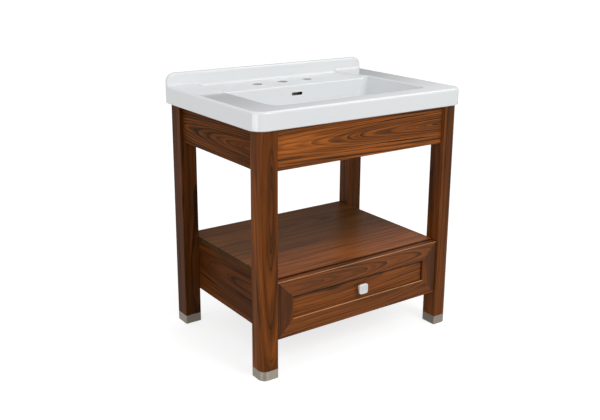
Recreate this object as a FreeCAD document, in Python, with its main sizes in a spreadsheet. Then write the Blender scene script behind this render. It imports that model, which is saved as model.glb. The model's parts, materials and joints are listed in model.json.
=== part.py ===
"""A console vanity: a ceramic sink top on a walnut stand, with a shelf over one wide drawer.

Lengths are in millimetres. X runs to the right, Y to the back and Z up. The front faces -Y, the floor
is Z = 0, and the origin is on the floor under the middle of the sink top.
"""
import FreeCAD
import Part
import Sketcher
import math
import os
from types import SimpleNamespace
from FreeCAD import Rotation, Vector

# Driving dimensions. Each becomes a cell of the sheet, and every piece is bound to those cells.
SIZES = {
    # Stand: outer faces of the legs, and the height that carries the sink
    "leg_span_width": 756,
    "leg_span_depth": 541,
    "leg_side": 57,
    "leg_round": 22,
    "leg_ease": 2,
    "frame_height": 762,
    # Metal cups at the feet, each on a spigot of its leg
    "ferrule_height": 30,
    "ferrule_wall": 2,
    "ferrule_floor": 4,
    "spigot_gap": 0.3,
    "foot_screw_radius": 2.5,
    "foot_screw_bite": 24,
    "foot_head_radius": 5,
    "foot_head_height": 2.5,
    # Apron rails, tenoned into the legs
    "rail_height": 122,
    "rail_thick": 22,
    "rail_recess": 12,
    "tenon_clear": 4,
    "tenon_thick": 10,
    "tenon_shoulder": 20,
    "mortise_gap": 0.2,
    "wall_hole_radius": 3.5,
    "wall_hole_spacing": 406.4,
    # Corner blocks inside the rails, and the bolt through each into its leg
    "block_reach": 55,
    "block_thick": 25,
    "block_lift": 6,
    "block_bolt_radius": 4,
    "block_bolt_bite": 30,
    "block_bolt_end": 4,
    "block_nut_radius": 7.5,
    "block_nut_height": 6.5,
    # Case between the legs, under the shelf
    "case_foot": 119,
    "case_height": 188,
    "case_board": 19,
    "case_back_thick": 12,
    "case_bolt_radius": 3,
    "case_bolt_bite": 30,
    "case_bolt_inset": 14.5,
    "case_bolt_margin": 20,
    "case_head_radius": 7,
    "case_head_height": 3.5,
    "dowel_radius": 4,
    "dowel_length": 28,
    "dowel_bite": 12,
    "dowel_inset": 85,
    "hole_gap": 0.1,
    # Telescopic slides: three nested channels on each side
    "slide_back_gap": 49,
    "slide_height": 45,
    "slide_space": 12.7,
    "slide_sheet": 1.2,
    "slide_step": 3.9,
    "slide_nest": 3,
    "slide_clear": 0.5,
    "slide_setback": 2,
    # Drawer front: a mitred frame round a panel
    "front_recess": 6,
    "front_thick": 20,
    "front_side_gap": 2.5,
    "front_foot": 1,
    "front_drop": 4,
    "front_case_gap": 2,
    "frame_width": 56,
    "frame_ease": 1.5,
    "panel_recess": 9,
    "panel_backing": 3,
    "panel_tongue": 8,
    "panel_gap": 0.2,
    # Drawer box, dovetailed at its four corners
    "drawer_back_gap": 53,
    "drawer_head_gap": 18,
    "drawer_lift": 12,
    "drawer_board": 13,
    "drawer_end_board": 15,
    "drawer_bottom_thick": 6,
    "drawer_bottom_lift": 10,
    "drawer_groove": 6,
    "groove_gap": 0.2,
    "tail_wide": 26,
    "tail_narrow": 21,
    "tail_gap": 0.1,
    "front_screw_radius": 2,
    "front_screw_bite": 12,
    "front_head_radius": 4.5,
    "front_head_height": 2.5,
    "front_head_clear": 0.5,
    "front_screw_inset": 80,
    # Knob and the screw through the drawer front
    "knob_side": 32,
    "knob_corner": 7,
    "knob_head": 9,
    "knob_stand": 22,
    "knob_stem_radius": 7.5,
    "knob_rim": 4,
    "knob_dish": 1.2,
    "knob_edge": 2.2,
    "knob_screw_radius": 2,
    "knob_screw_bite": 14,
    "knob_head_radius": 4,
    "knob_head_height": 2.4,
    # Sink top
    "sink_overhang_side": 19,
    "sink_overhang_front": 7,
    "slab_height": 56,
    "sink_corner": 45,
    "sink_edge": 8,
    "sink_under_edge": 4,
    "splash_rise": 42,
    "splash_thick": 15,
    "splash_corner": 28,
    "splash_back_edge": 3,
    "splash_foot": 9,
    "rim_side": 100,
    "rim_front": 66,
    "basin_depth": 125,
    "basin_front_corner": 42,
    "basin_back_corner": 18,
    "basin_floor_corner": 36,
    "basin_floor_round": 26,
    "basin_edge": 5,
    "bowl_wall": 13,
    "deck_length": 155,
    "deck_drop": 8,
    "deck_inset": 7,
    "deck_slope": 20,
    "deck_thick": 14,
    "faucet_spacing": 101.6,
    "faucet_hole_radius": 17.5,
    "faucet_setback": 86,
    "relief_margin": 8,
    "relief_corner": 20,
    "drain_hole_radius": 22.5,
    "drain_seat_radius": 32,
    "drain_seat_depth": 3,
    "overflow_width": 43,
    "overflow_height": 10,
    "overflow_drop": 37,
    "overflow_wall": 4,
    "overflow_corner": 4.2,
    # How far a cutting tool runs past what it cuts
    "overrun": 5,
}
BASIN_SIDE_DEG = 18
BASIN_END_DEG = 4
TAIL_COUNT = 3
DOWEL_COUNT = 3
NUT_SIDES = 6
# The most of the corner radius at the basin's floor that the rounding along the floor may take
FLOOR_ROUND_SHARE = 0.9
OVERFLOW_ROUND_SHARE = 0.45
# How near two places have to be to count as the same one
SAME_PLACE = 0.01


class Dim:
    """A length that knows its value now and the sheet expression that gives it."""

    def __init__(self, value, text):
        self.value = value
        self.text = text

    def __add__(self, other):
        other = dim(other)
        return Dim(self.value + other.value, f"({self.text} + {other.text})")

    def __sub__(self, other):
        other = dim(other)
        return Dim(self.value - other.value, f"({self.text} - {other.text})")

    def __mul__(self, other):
        other = dim(other)
        return Dim(self.value * other.value, f"({self.text} * {other.text})")

    def __truediv__(self, other):
        other = dim(other)
        return Dim(self.value / other.value, f"({self.text} / {other.text})")

    def __rsub__(self, other):
        return dim(other) - self

    def __neg__(self):
        return Dim(-self.value, f"(-{self.text})")

    __radd__ = __add__
    __rmul__ = __mul__


def dim(item):
    """A plain number or a Dim, as a Dim."""
    return item if isinstance(item, Dim) else Dim(float(item), repr(float(item)))


def lesser(one, other):
    """The smaller of two lengths."""
    return Dim(min(one.value, other.value), f"min({one.text}; {other.text})")


def make_sheet():
    """Writes the driving dimensions to the sheet, and returns them as Dims."""
    sheet = doc.addObject("Spreadsheet::Sheet", "Sizes")
    for row, (name, value) in enumerate(SIZES.items(), 1):
        sheet.set(f"A{row}", name)
        sheet.set(f"B{row}", str(value))
        sheet.setAlias(f"B{row}", name)
    doc.recompute()
    return SimpleNamespace(**{name: Dim(float(value), f"Sizes.{name}") for name, value in SIZES.items()})


doc = FreeCAD.newDocument("vanity")
size = make_sheet()
nodes = []


def keep(label, piece):
    """Names a finished piece, which gets a file of its own."""
    piece.Label = label
    nodes.append(piece)
    return piece


# Places that several pieces share
leg_out_x = size.leg_span_width / 2
leg_in_x = leg_out_x - size.leg_side
sink_width = size.leg_span_width + 2 * size.sink_overhang_side
sink_depth = size.leg_span_depth + size.sink_overhang_front
back_y = sink_depth / 2
sink_front_y = -back_y
leg_front_y = back_y - size.leg_span_depth
leg_front_in_y = leg_front_y + size.leg_side
leg_back_in_y = back_y - size.leg_side
rail_foot_z = size.frame_height - size.rail_height
block_top_z = rail_foot_z + size.block_lift + size.block_thick
shelf_top_z = size.case_foot + size.case_height
shelf_under_z = shelf_top_z - size.case_board
case_floor_z = size.case_foot + size.case_board
case_in_x = leg_in_x - size.case_board
front_face_y = leg_front_y + size.front_recess
front_back_y = front_face_y + size.front_thick
case_front_y = front_back_y + size.front_case_gap
case_back_in_y = back_y - size.case_back_thick
front_foot_z = size.case_foot + size.front_foot
front_top_z = shelf_top_z - size.front_drop
front_half_x = leg_in_x - size.front_side_gap
front_mid_z = (front_foot_z + front_top_z) / 2
panel_face_y = front_face_y + size.panel_recess
panel_back_y = front_back_y - size.panel_backing
drawer_out_x = case_in_x - size.slide_space
drawer_in_x = drawer_out_x - size.drawer_board
drawer_foot_z = case_floor_z + size.drawer_lift
drawer_top_z = shelf_under_z - size.drawer_head_gap
drawer_end_y = case_back_in_y - size.drawer_back_gap
inner_front_back_y = front_back_y + size.drawer_end_board
drawer_back_front_y = drawer_end_y - size.drawer_end_board
slide_mid_z = (drawer_foot_z + drawer_top_z) / 2


# Plain solids and booleans
def block(label, low, high):
    """A board between two corners, each given as x, y, z."""
    board = doc.addObject("Part::Box", label)
    for side, axis, start, end in zip(("Length", "Width", "Height"), "xyz", low, high):
        start = dim(start)
        board.setExpression(side, (end - start).text)
        board.setExpression(f"Placement.Base.{axis}", start.text)
    return board


def rod(label, start, direction, radius, length):
    """A round bar from a point, along a direction."""
    bar = doc.addObject("Part::Cylinder", label)
    bar.Placement.Rotation = Rotation(Vector(0, 0, 1), Vector(*direction))
    for axis, place in zip("xyz", start):
        bar.setExpression(f"Placement.Base.{axis}", dim(place).text)
    bar.setExpression("Radius", radius.text)
    bar.setExpression("Height", length.text)
    return bar


def along(start, direction, distance):
    """The point a distance away from start along an axis direction."""
    return [dim(place) + distance * step for place, step in zip(start, direction)]


def fuse(label, pieces):
    whole = doc.addObject("Part::MultiFuse", label)
    whole.Shapes = pieces
    whole.Refine = True
    return whole


def group(label, pieces):
    """Separate solids kept in one file."""
    whole = doc.addObject("Part::Compound", label)
    whole.Links = pieces
    return whole


def cut(label, base, tools):
    rest = doc.addObject("Part::Cut", label)
    rest.Base = base
    rest.Tool = tools[0] if len(tools) == 1 else fuse(f"{label}_tools", tools)
    return rest


def headed_bolt(label, seat, direction, shank, head):
    """A bolt whose head sits on seat: shank and head are (radius, length), the head behind the seat."""
    back = [-step for step in direction]
    return fuse(label, [rod(f"{label}_shank", seat, direction, *shank),
                        rod(f"{label}_head", seat, back, *head)])


# Sketches and the features drawn from them
def new_body(label):
    return doc.addObject("PartDesign::Body", label)


def sketch_on(body, role, lift=0):
    """An empty sketch on one of the body's own planes, moved along that plane's normal."""
    sketch = body.newObject("Sketcher::SketchObject", f"{body.Name}_sketch")
    plane = next(item for item in body.Origin.OriginFeatures if item.Role == role)
    sketch.AttachmentSupport = [(plane, "")]
    sketch.MapMode = "FlatFace"
    sketch.setExpression("AttachmentOffset.Base.z", dim(lift).text)
    return sketch


def to(x, y):
    """A straight step of an outline, to the corner it ends at."""
    return SimpleNamespace(x=dim(x), y=dim(y), centre=None)


def bend(x, y, centre, radius):
    """A round step of an outline, to the corner it ends at, about a centre."""
    return SimpleNamespace(x=dim(x), y=dim(y), centre=[dim(place) for place in centre], radius=dim(radius))


def unit(value):
    return 0 if abs(value) < SAME_PLACE else math.copysign(1, value)


def rounded(corners, radii):
    """The outline of a shape with square corners, of which those with a radius are rounded."""
    steps = []
    count = len(corners)
    for index, ((x, y), radius) in enumerate(zip(corners, radii)):
        x, y = dim(x), dim(y)
        if radius is None:
            steps.append(to(x, y))
            continue
        before = [dim(place) for place in corners[index - 1]]
        after = [dim(place) for place in corners[(index + 1) % count]]
        come = [unit((x - before[0]).value), unit((y - before[1]).value)]
        leave = [unit((after[0] - x).value), unit((after[1] - y).value)]
        start = [x - radius * come[0], y - radius * come[1]]
        centre = [start[0] + radius * leave[0], start[1] + radius * leave[1]]
        steps.append(to(*start))
        steps.append(bend(x + radius * leave[0], y + radius * leave[1], centre, radius))
    return steps


def trace(sketch, outline):
    """Draws a closed outline and binds each corner and radius to the sheet."""
    first = sketch.GeometryCount
    shapes = []
    ends = []
    for before, step in zip([outline[-1]] + outline[:-1], outline):
        start = Vector(before.x.value, before.y.value)
        end = Vector(step.x.value, step.y.value)
        if step.centre is None:
            shapes.append(Part.LineSegment(start, end))
            ends.append((1, 2))
            continue
        centre = Vector(step.centre[0].value, step.centre[1].value)
        ring = Part.Circle(centre, Vector(0, 0, 1), step.radius.value)
        out, back = start - centre, end - centre
        angles = [math.atan2(out.y, out.x), math.atan2(back.y, back.x)]
        left_turn = out.cross(back).z > 0
        shapes.append(Part.ArcOfCircle(ring, *(angles if left_turn else reversed(angles))))
        ends.append((1, 2) if left_turn else (2, 1))
    sketch.addGeometry(shapes)
    rules = []
    drives = {}
    taken = sketch.ConstraintCount
    for index, step in enumerate(outline):
        here = (first + index, ends[index][1])
        follower = (index + 1) % len(outline)
        rules.append(Sketcher.Constraint("Coincident", *here, first + follower, ends[follower][0]))
        for kind, place in (("DistanceX", step.x), ("DistanceY", step.y)):
            drives[taken + len(rules)] = place
            rules.append(Sketcher.Constraint(kind, -1, 1, *here, place.value))
        if step.centre is not None:
            drives[taken + len(rules)] = step.radius
            rules.append(Sketcher.Constraint("Radius", first + index, step.radius.value))
    sketch.addConstraint(rules)
    for index, place in drives.items():
        sketch.setExpression(f"Constraints[{index}]", place.text)


def circle(sketch, x, y, radius):
    """Draws a circle and binds its centre and radius to the sheet."""
    x, y = dim(x), dim(y)
    index = sketch.addGeometry(Part.Circle(Vector(x.value, y.value), Vector(0, 0, 1), radius.value))
    for kind, place in (("DistanceX", x), ("DistanceY", y)):
        rule = sketch.addConstraint(Sketcher.Constraint(kind, -1, 1, index, 3, place.value))
        sketch.setExpression(f"Constraints[{rule}]", place.text)
    rule = sketch.addConstraint(Sketcher.Constraint("Radius", index, radius.value))
    sketch.setExpression(f"Constraints[{rule}]", radius.text)


def raised(body, kind, sketch, length, back=False, taper=0):
    """A pad or pocket of a sketch. A pad grows along the sketch's normal and a pocket cuts against it."""
    feature = body.newObject(f"PartDesign::{kind}", f"{body.Name}_{kind}")
    feature.Profile = sketch
    feature.Reversed = back
    feature.TaperAngle = taper
    feature.setExpression("Length", length.text)
    return feature


def pad(body, sketch, length, back=False, taper=0):
    return raised(body, "Pad", sketch, length, back, taper)


def pocket(body, sketch, length, back=False, taper=0):
    """Cuts, and stops the build if nothing was removed."""
    doc.recompute()
    before = body.Shape.Volume
    feature = raised(body, "Pocket", sketch, length, back, taper)
    doc.recompute()
    if not body.Shape.Volume < before:
        raise RuntimeError(f"a pocket of {body.Label} cuts nothing")
    return feature


def drawn(body, kind, first, last):
    """A straight-sided shape between two outlines, added to the body or cut from it."""
    feature = body.newObject(f"PartDesign::{kind}Loft", f"{body.Name}_{kind.lower()}_loft")
    feature.Profile = first
    feature.Sections = [last]
    feature.Ruled = True
    doc.recompute()
    return feature


def soften(body, wanted, radius):
    """Rounds the edges of the body so far that pass the test, which gets each edge's bounding box."""
    doc.recompute()
    base = body.Tip
    names = [f"Edge{n}" for n, edge in enumerate(base.Shape.Edges, 1) if wanted(edge.BoundBox)]
    feature = body.newObject("PartDesign::Fillet", f"{body.Name}_round")
    feature.Base = (base, names)
    feature.setExpression("Radius", radius.text)
    doc.recompute()
    return feature


def near(value, place):
    return abs(value - dim(place).value) < SAME_PLACE


# Legs and ferrules
LEGS = {
    "front_left": (-1, -1),
    "front_right": (1, -1),
    "back_left": (-1, 1),
    "back_right": (1, 1),
}


def leg_middle(side, depth):
    """The centre line of a leg, as x, y."""
    out_y = leg_front_y if depth < 0 else back_y
    return side * (leg_out_x - size.leg_side / 2), out_y - depth * size.leg_side / 2


def leg_outline(side, depth, inset):
    """A leg's section, drawn in by an inset. Front legs have one round corner, outwards to the front, and
    the other corners are eased where nothing is drawn in."""
    out_x = side * (leg_out_x - inset)
    in_x = side * (leg_in_x + inset)
    out_y = (leg_front_y if depth < 0 else back_y) - depth * inset
    in_y = (leg_front_in_y if depth < 0 else leg_back_in_y) + depth * inset
    ease = None if inset.value else size.leg_ease
    outer = size.leg_round - inset if depth < 0 else ease
    return rounded([(out_x, out_y), (in_x, out_y), (in_x, in_y), (out_x, in_y)], [outer, ease, ease, ease])


def rail_span(name, grow):
    """Low and high corners of a rail's tenon bar, which runs through the rail and out at both ends."""
    low_z = block_top_z - grow
    high_z = size.frame_height - size.tenon_shoulder + grow
    out = size.rail_recess + (size.rail_thick - size.tenon_thick) / 2 - grow
    across = size.tenon_thick + 2 * grow
    length = size.leg_side - out - across - size.tenon_clear + 2 * grow
    if name in ("front", "back"):
        reach = leg_in_x + length
        near_y = leg_front_y + out if name == "front" else back_y - out - across
        return (-reach, near_y, low_z), (reach, near_y + across, high_z)
    low_x = -leg_out_x + out if name == "left" else leg_out_x - out - across
    low_y = leg_front_in_y - length
    high_y = leg_back_in_y + length
    return (low_x, low_y, low_z), (low_x + across, high_y, high_z)


def make_rail(name):
    across = size.rail_thick
    if name in ("front", "back"):
        low_y = leg_front_y + size.rail_recess if name == "front" else back_y - size.rail_recess - across
        board = block("rail_board", (-leg_in_x, low_y, rail_foot_z),
                      (leg_in_x, low_y + across, size.frame_height))
    else:
        low_x = -leg_out_x + size.rail_recess if name == "left" else leg_out_x - size.rail_recess - across
        board = block("rail_board", (low_x, leg_front_in_y, rail_foot_z),
                      (low_x + across, leg_back_in_y, size.frame_height))
    rail = fuse("rail", [board, block("tenon_bar", *rail_span(name, dim(0)))])
    if name == "back":
        mid_z = (rail_foot_z + size.frame_height) / 2
        start_y = back_y - size.rail_recess - across - size.overrun
        run = across + 2 * size.overrun
        holes = [rod("wall_hole", (side * size.wall_hole_spacing / 2, start_y, mid_z), (0, 1, 0),
                     size.wall_hole_radius, run) for side in (-1, 1)]
        rail = cut("rail_drilled", rail, holes)
    return keep(f"{name}_rail", rail)


def case_bolt_seats(side):
    """Where the connector bolts' heads seat in a case side, each on the line of a leg."""
    seat_x = side * (case_in_x + size.case_head_height)
    rows = (case_floor_z + size.case_bolt_margin, shelf_under_z - size.case_bolt_margin)
    lines = {-1: leg_front_in_y - size.case_bolt_inset, 1: leg_back_in_y + size.case_bolt_inset}
    return {depth: [(seat_x, line, row) for row in rows] for depth, line in lines.items()}


def block_bolt_line(side, depth):
    """The leg's inner corner at the block's mid height, and the unit direction from there into the leg."""
    in_y = leg_front_in_y if depth < 0 else leg_back_in_y
    mid_z = rail_foot_z + size.block_lift + size.block_thick / 2
    return (side * leg_in_x, in_y, mid_z), (side / math.sqrt(2), depth / math.sqrt(2), 0)


def block_bolt_bore(side, depth):
    """The hole for the bolt, from its end in the leg out through the block."""
    corner, inwards = block_bolt_line(side, depth)
    bite = size.block_bolt_bite + size.hole_gap
    outwards = [-step for step in inwards]
    return rod("block_bolt_bore", along(corner, inwards, bite), outwards,
               size.block_bolt_radius + size.hole_gap, bite + size.block_reach)


def make_leg(name, side, depth):
    body = new_body("leg_post")
    top = sketch_on(body, "XY_Plane", size.ferrule_height)
    trace(top, leg_outline(side, depth, dim(0)))
    pad(body, top, size.frame_height - size.ferrule_height)
    spigot = sketch_on(body, "XY_Plane", size.ferrule_height)
    trace(spigot, leg_outline(side, depth, size.ferrule_wall + size.spigot_gap))
    pad(body, spigot, size.ferrule_height - size.ferrule_floor - size.spigot_gap, back=True)
    rails = ("front" if depth < 0 else "back", "left" if side < 0 else "right")
    tools = [block("mortise", *rail_span(rail, size.mortise_gap)) for rail in rails]
    for _, line, row in case_bolt_seats(side)[depth]:
        start = (side * (leg_in_x - size.overrun), line, row)
        tools.append(rod("case_bolt_hole", start, (side, 0, 0), size.case_bolt_radius + size.hole_gap,
                         size.overrun + size.case_bolt_bite + size.hole_gap))
    tools.append(block_bolt_bore(side, depth))
    tools.append(rod("foot_screw_hole", (*leg_middle(side, depth), dim(0)), (0, 0, 1),
                     size.foot_screw_radius + size.hole_gap,
                     size.ferrule_floor + size.foot_screw_bite + size.hole_gap))
    return keep(f"leg_{name}", cut("leg", body, tools))


def make_ferrule(name, side, depth):
    body = new_body("ferrule_cup")
    outer = sketch_on(body, "XY_Plane")
    trace(outer, leg_outline(side, depth, dim(0)))
    pad(body, outer, size.ferrule_height)
    inner = sketch_on(body, "XY_Plane", size.ferrule_height)
    trace(inner, leg_outline(side, depth, size.ferrule_wall))
    pocket(body, inner, size.ferrule_height - size.ferrule_floor)
    middle = leg_middle(side, depth)
    head = sketch_on(body, "XY_Plane")
    circle(head, *middle, size.foot_head_radius + size.hole_gap)
    pocket(body, head, size.foot_head_height + size.hole_gap, back=True)
    hole = sketch_on(body, "XY_Plane")
    circle(hole, *middle, size.foot_screw_radius + size.hole_gap)
    pocket(body, hole, size.ferrule_floor, back=True)
    return keep(f"ferrule_{name}", body)


def make_foot_screws():
    shank = (size.foot_screw_radius, size.ferrule_floor - size.foot_head_height + size.foot_screw_bite)
    head = (size.foot_head_radius, size.foot_head_height - size.hole_gap)
    seats = [(*leg_middle(*place), size.foot_head_height) for place in LEGS.values()]
    screws = [headed_bolt("foot_screw", seat, (0, 0, 1), shank, head) for seat in seats]
    return keep("ferrule_screws", group("foot_screws", screws))


# Corner blocks
def make_corner_block(name, side, depth):
    rail_x = side * (leg_out_x - size.rail_recess - size.rail_thick)
    rail_y = (leg_front_y if depth < 0 else back_y) - depth * (size.rail_recess + size.rail_thick)
    (leg_x, leg_y, _), _ = block_bolt_line(side, depth)
    body = new_body("block_blank")
    sketch = sketch_on(body, "XY_Plane", rail_foot_z + size.block_lift)
    trace(sketch, [
        to(leg_x, rail_y),
        to(leg_x - side * size.block_reach, rail_y),
        to(rail_x, leg_y - depth * size.block_reach),
        to(rail_x, leg_y),
        to(leg_x, leg_y),
    ])
    pad(body, sketch, size.block_thick)
    return keep(f"corner_block_{name}", cut("block", body, [block_bolt_bore(side, depth)]))


def block_face_distance():
    """How far the block's slanted face is from the leg's inner corner, along the bolt."""
    rail_back = size.leg_side - size.rail_recess - size.rail_thick
    return (size.block_reach - rail_back) / math.sqrt(2)


def make_corner_bolts():
    bolts = []
    gap = block_face_distance()
    for side, depth in LEGS.values():
        corner, inwards = block_bolt_line(side, depth)
        slant = [-step for step in inwards]
        outer = along(corner, slant, gap + size.block_nut_height + size.block_bolt_end)
        run = gap + size.block_nut_height + size.block_bolt_end + size.block_bolt_bite
        stud = rod("corner_stud", outer, inwards, size.block_bolt_radius, run)
        nut = doc.addObject("Part::Prism", "corner_nut")
        nut.Polygon = NUT_SIDES
        nut.Placement.Rotation = Rotation(Vector(0, 0, 1), Vector(*slant))
        for axis, place in zip("xyz", along(corner, slant, gap)):
            nut.setExpression(f"Placement.Base.{axis}", place.text)
        nut.setExpression("Circumradius", size.block_nut_radius.text)
        nut.setExpression("Height", size.block_nut_height.text)
        bolts.append(fuse("corner_bolt", [stud, nut]))
    return keep("corner_bolts", group("corner_bolts", bolts))


# Case under the shelf
def dowel_places():
    """Centres of the dowels between each case side and the shelf."""
    first = case_front_y + size.dowel_inset
    pitch = (back_y - size.dowel_inset - first) / (DOWEL_COUNT - 1)
    line_x = leg_in_x - size.case_board / 2
    lines = [first + pitch * index for index in range(DOWEL_COUNT)]
    return {side: [(side * line_x, y) for y in lines] for side in (-1, 1)}


def dowel_rods(label, places, grow):
    """Dowels, or with a grow the holes for them."""
    start = shelf_under_z + size.dowel_bite - size.dowel_length - grow
    run = size.dowel_length + 2 * grow
    return [rod(label, (x, y, start), (0, 0, 1), size.dowel_radius + grow, run) for x, y in places]


def make_case():
    dowels = dowel_places()
    every_dowel = dowels[-1] + dowels[1]
    shelf = block("shelf_board", (-leg_in_x, case_front_y, shelf_under_z), (leg_in_x, back_y, shelf_top_z))
    keep("shelf_panel", cut("shelf", shelf, dowel_rods("shelf_hole", every_dowel, size.hole_gap)))
    for name, side in (("left", -1), ("right", 1)):
        low_x = -leg_in_x if side < 0 else case_in_x
        board = block("side_board", (low_x, case_front_y, size.case_foot),
                      (low_x + size.case_board, back_y, shelf_under_z))
        tools = dowel_rods("side_hole", dowels[side], size.hole_gap)
        for seats in case_bolt_seats(side).values():
            for seat in seats:
                start = (side * (case_in_x - size.overrun), seat[1], seat[2])
                tools.append(rod("bolt_hole", start, (side, 0, 0), size.case_bolt_radius + size.hole_gap,
                                 size.case_board + 2 * size.overrun))
                tools.append(rod("head_hole", start, (side, 0, 0), size.case_head_radius + size.hole_gap,
                                 size.overrun + size.case_head_height))
        keep(f"case_side_{name}", cut("side", board, tools))
    keep("case_bottom", block("bottom_board", (-case_in_x, case_front_y, size.case_foot),
                              (case_in_x, back_y, case_floor_z)))
    keep("case_back", block("back_board", (-case_in_x, case_back_in_y, case_floor_z),
                            (case_in_x, back_y, shelf_under_z)))
    keep("case_dowels", group("dowels", dowel_rods("dowel", every_dowel, dim(0))))
    shank = (size.case_bolt_radius, size.case_board - size.case_head_height + size.case_bolt_bite)
    head = (size.case_head_radius, size.case_head_height)
    bolts = [headed_bolt("case_bolt", seat, (side, 0, 0), shank, head)
             for side in (-1, 1) for seats in case_bolt_seats(side).values() for seat in seats]
    keep("case_bolts", group("case_bolts", bolts))


# Telescopic slides
def make_slide_member(label, side, half_height, web_x, lip_x):
    """A channel along Y, with its web at web_x and lips that reach to lip_x, both from the case side."""
    inner = half_height - size.slide_sheet
    facing = 1 if (lip_x - web_x).value > 0 else -1
    web_inner = web_x + facing * size.slide_sheet
    wall = side * case_in_x

    def place(depth, height):
        return to(wall - side * depth, slide_mid_z + height)

    body = new_body(label)
    sketch = sketch_on(body, "XZ_Plane", -(case_front_y + size.slide_setback))
    trace(sketch, [
        place(web_x, half_height),
        place(lip_x, half_height),
        place(lip_x, inner),
        place(web_inner, inner),
        place(web_inner, -inner),
        place(lip_x, -inner),
        place(lip_x, -half_height),
        place(web_x, -half_height),
    ])
    pad(body, sketch, case_back_in_y - size.slide_back_gap - case_front_y - size.slide_setback, back=True)
    return keep(label, body)


def make_slides():
    half = size.slide_height / 2
    lap = size.slide_space - size.slide_nest - size.slide_sheet - size.slide_clear
    for name, side in (("left", -1), ("right", 1)):
        make_slide_member(f"slide_case_{name}", side, half, dim(0), lap)
        make_slide_member(f"slide_middle_{name}", side, half - size.slide_step, size.slide_nest,
                          size.slide_nest + lap)
        make_slide_member(f"slide_drawer_{name}", side, half - 2 * size.slide_step, size.slide_space,
                          size.slide_space - lap)


# Drawer box
def tail_outlines(shoulder_y, end_y, grow):
    """The dovetails at one end of a drawer side, as (y, z): wide at the end, narrow at the shoulder."""
    pitch = (drawer_top_z - drawer_foot_z) / TAIL_COUNT
    outlines = []
    for index in range(TAIL_COUNT):
        mid_z = drawer_foot_z + pitch * (index + 1 / 2)
        narrow = size.tail_narrow / 2 + grow
        wide = size.tail_wide / 2 + grow
        outlines.append([
            to(shoulder_y, mid_z - narrow),
            to(end_y, mid_z - wide),
            to(end_y, mid_z + wide),
            to(shoulder_y, mid_z + narrow),
        ])
    return outlines


def bottom_panel(label, grow):
    """The drawer's bottom board, or with a grow the groove that holds it."""
    reach_x = drawer_in_x + size.drawer_groove + grow
    low_y = inner_front_back_y - size.drawer_groove - grow
    high_y = drawer_back_front_y + size.drawer_groove + grow
    under_z = drawer_foot_z + size.drawer_bottom_lift
    return block(label, (-reach_x, low_y, under_z - grow),
                 (reach_x, high_y, under_z + size.drawer_bottom_thick + grow))


def make_drawer_side(name, side):
    body = new_body("drawer_side")
    low_x = -drawer_out_x if side < 0 else drawer_in_x
    board = sketch_on(body, "YZ_Plane", low_x)
    trace(board, [
        to(inner_front_back_y, drawer_foot_z),
        to(drawer_back_front_y, drawer_foot_z),
        to(drawer_back_front_y, drawer_top_z),
        to(inner_front_back_y, drawer_top_z),
    ])
    pad(body, board, size.drawer_board)
    for shoulder, end in ((inner_front_back_y, front_back_y), (drawer_back_front_y, drawer_end_y)):
        tails = sketch_on(body, "YZ_Plane", low_x)
        for outline in tail_outlines(shoulder, end, dim(0)):
            trace(tails, outline)
        pad(body, tails, size.drawer_board)
    groove = bottom_panel("groove", size.groove_gap)
    return keep(f"drawer_side_{name}", cut("drawer_side", body, [groove]))


def make_drawer_end(label, shoulder_y, end_y, more_tools):
    """The inner front or the back: a full-width board from the drawer's end to the shoulder of the sides'
    tails, with sockets cut for those."""
    front_y, back_edge_y = sorted((shoulder_y, end_y), key=lambda place: place.value)
    body = new_body("drawer_end")
    board = sketch_on(body, "YZ_Plane", -drawer_out_x)
    trace(board, [
        to(front_y, drawer_foot_z),
        to(back_edge_y, drawer_foot_z),
        to(back_edge_y, drawer_top_z),
        to(front_y, drawer_top_z),
    ])
    pad(body, board, 2 * drawer_out_x)
    for lift, back in ((drawer_out_x, False), (-drawer_out_x, True)):
        sockets = sketch_on(body, "YZ_Plane", lift)
        for outline in tail_outlines(shoulder_y, end_y, size.tail_gap):
            trace(sockets, outline)
        pocket(body, sockets, size.drawer_board, back)
    groove = bottom_panel("groove", size.groove_gap)
    return keep(label, cut("drawer_end", body, [groove] + more_tools))


def front_screw_places():
    """The four screws that hold the front: one near each corner, on the frame's top and bottom rails."""
    high_x = drawer_in_x - size.front_screw_inset
    low = drawer_foot_z + size.drawer_bottom_lift - size.front_head_radius - size.front_head_clear
    high = (drawer_top_z + front_top_z - size.frame_width + size.panel_tongue) / 2
    rows = (low, high)
    return [(side * high_x, row) for side in (-1, 1) for row in rows]


def front_screw_holes(label):
    start_y = inner_front_back_y + size.overrun
    run = size.overrun + size.drawer_end_board + size.front_screw_bite + size.hole_gap
    return [rod(label, (x, start_y, z), (0, -1, 0), size.front_screw_radius + size.hole_gap, run)
            for x, z in front_screw_places()]


def knob_screw_hole(label):
    start_y = inner_front_back_y + size.overrun
    run = start_y - panel_face_y + size.knob_screw_bite + size.hole_gap
    return rod(label, (0, start_y, front_mid_z), (0, -1, 0), size.knob_screw_radius + size.hole_gap, run)


def make_drawer_box():
    make_drawer_side("left", -1)
    make_drawer_side("right", 1)
    holes = front_screw_holes("front_hole") + [knob_screw_hole("knob_hole")]
    make_drawer_end("drawer_inner_front", inner_front_back_y, front_back_y, holes)
    make_drawer_end("drawer_back", drawer_back_front_y, drawer_end_y, [])
    keep("drawer_bottom", bottom_panel("drawer_bottom_board", dim(0)))
    shank = (size.front_screw_radius, size.drawer_end_board + size.front_screw_bite)
    head = (size.front_head_radius, size.front_head_height)
    screws = [headed_bolt("front_screw", (x, inner_front_back_y, z), (0, -1, 0), shank, head)
              for x, z in front_screw_places()]
    keep("front_screws", group("front_screws", screws))


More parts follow.
